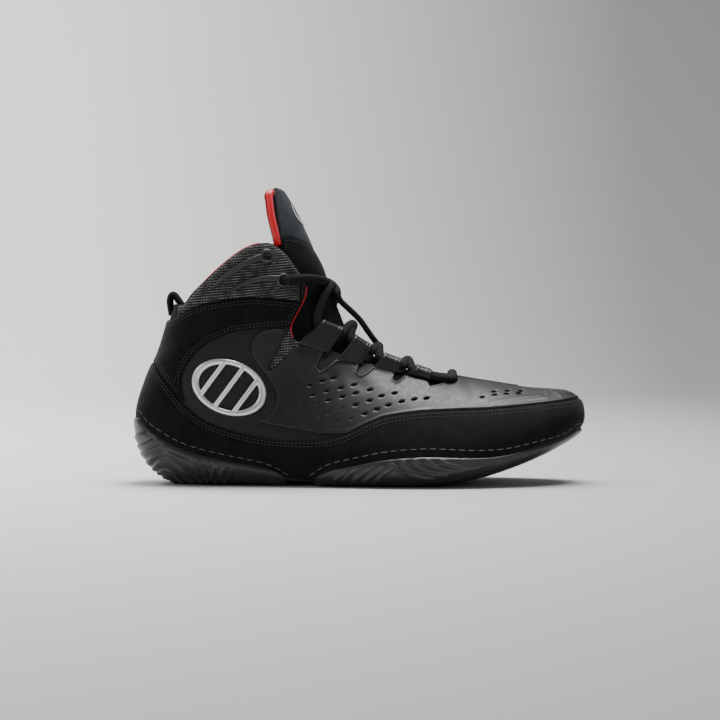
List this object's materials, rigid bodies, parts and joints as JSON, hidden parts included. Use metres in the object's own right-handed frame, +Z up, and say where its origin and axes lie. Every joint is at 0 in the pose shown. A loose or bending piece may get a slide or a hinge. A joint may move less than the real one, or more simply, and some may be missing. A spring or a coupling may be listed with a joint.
{
  "type": "wrestling shoe",
  "caption": "Low-soled high-top wrestling shoe for a right foot, with suede rand, smooth vamp, mesh ankle, padded tongue, folded lace loops and a split rubber outsole.",
  "frame": {"origin": "centre of the shoe's bounding box on the floor", "axes": "+X to the toe, +Y to the inner side of the foot, +Z up; the shoe stands on its sole"},
  "size_m": [0.286, 0.1048, 0.186],
  "materials": {
    "textile": "open mesh and ribbed film",
    "leather": "smooth, soft sheen",
    "suede": "brushed nap",
    "rubber": "matte",
    "moulding": "matte",
    "foam": "satin lining over foam",
    "lace": "round braid",
    "badge": "satin silver"
  },
  "bodies": {
    "root": {"upper": "textile", "outsole": "rubber", "insole": "foam", "tongue": "textile", "vamp": "leather", "rand": "suede", "ankle_panel": "suede", "pull_loop": "textile", "lace_loop_lateral_1": "leather", "lace_loop_lateral_2": "leather", "lace_loop_lateral_3": "leather", "lace_loop_lateral_4": "leather", "eyelet_arm_lateral_upper": "moulding", "eyelet_arm_lateral_lower": "moulding", "lace_loop_medial_1": "leather", "lace_loop_medial_2": "leather", "lace_loop_medial_3": "leather", "lace_loop_medial_4": "leather", "eyelet_arm_medial_upper": "moulding", "eyelet_arm_medial_lower": "moulding", "side_badge": "badge", "lace_crossings": "lace", "lace_end": "lace"}
  },
  "joints": []
}
